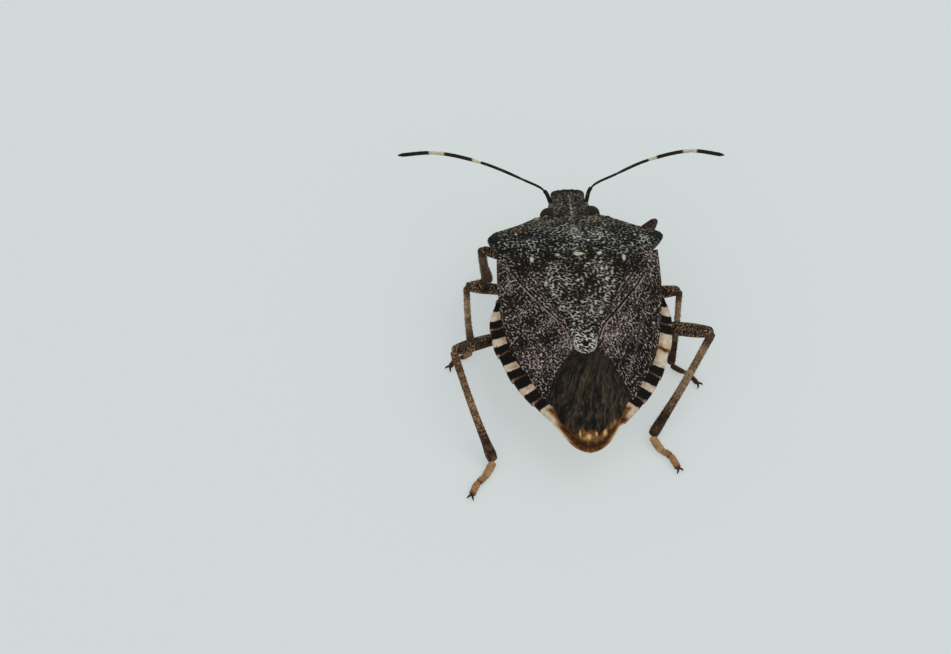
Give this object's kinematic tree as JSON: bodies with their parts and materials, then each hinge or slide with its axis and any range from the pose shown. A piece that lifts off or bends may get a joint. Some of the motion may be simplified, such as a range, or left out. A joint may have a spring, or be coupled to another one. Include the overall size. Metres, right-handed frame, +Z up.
{
  "type": "shield bug",
  "caption": "Still life-size shield bug with folded wings, standing on its feet with its feelers held forward",
  "frame": {"origin": "middle of the footprint at floor level, under the body", "axes": "+Z up from the floor, +X to the animal's left, the head towards -Y and the tail towards +Y"},
  "size_m": [0.0164, 0.0182, 0.0052],
  "materials": {
    "shell": "hard dark grey-brown shell, closely pitted and marbled with pale cream-grey",
    "wing": "leathery purplish brown, finely pitted, with pinkish-grey flecks and pale veins",
    "membrane": "thin dark brown film with darker veins, amber towards the tail",
    "eye": "dark brown, finely faceted, glossy",
    "belly": "pale tan with dark pits, and paired black bands on the edge beside the wings",
    "limb": "brown legs and beak with tan flecks, paler in the middle of the shins",
    "feeler": "near-black with cream rings at two joints"
  },
  "bodies": {
    "root": {"head": "shell", "eye_left": "eye", "eye_right": "eye", "beak": "limb", "pronotum": "shell", "scutellum": "shell", "forewing_left": "wing", "forewing_right": "wing", "membrane_left": "membrane", "membrane_right": "membrane", "thorax": "belly", "abdomen": "belly", "antenna_left_1": "feeler", "antenna_left_2": "feeler", "antenna_left_3": "feeler", "antenna_left_4": "feeler", "antenna_left_5": "feeler", "antenna_right_1": "feeler", "antenna_right_2": "feeler", "antenna_right_3": "feeler", "antenna_right_4": "feeler", "antenna_right_5": "feeler", "leg_front_left_coxa": "limb", "leg_front_left_femur": "limb", "leg_front_left_tibia": "limb", "leg_front_left_tarsus": "limb", "leg_front_right_coxa": "limb", "leg_front_right_femur": "limb", "leg_front_right_tibia": "limb", "leg_front_right_tarsus": "limb", "leg_middle_left_coxa": "limb", "leg_middle_left_femur": "limb", "leg_middle_left_tibia": "limb", "leg_middle_left_tarsus": "limb", "leg_middle_right_coxa": "limb", "leg_middle_right_femur": "limb", "leg_middle_right_tibia": "limb", "leg_middle_right_tarsus": "limb", "leg_hind_left_coxa": "limb", "leg_hind_left_femur": "limb", "leg_hind_left_tibia": "limb", "leg_hind_left_tarsus": "limb", "leg_hind_right_coxa": "limb", "leg_hind_right_femur": "limb", "leg_hind_right_tibia": "limb", "leg_hind_right_tarsus": "limb"}
  },
  "joints": []
}
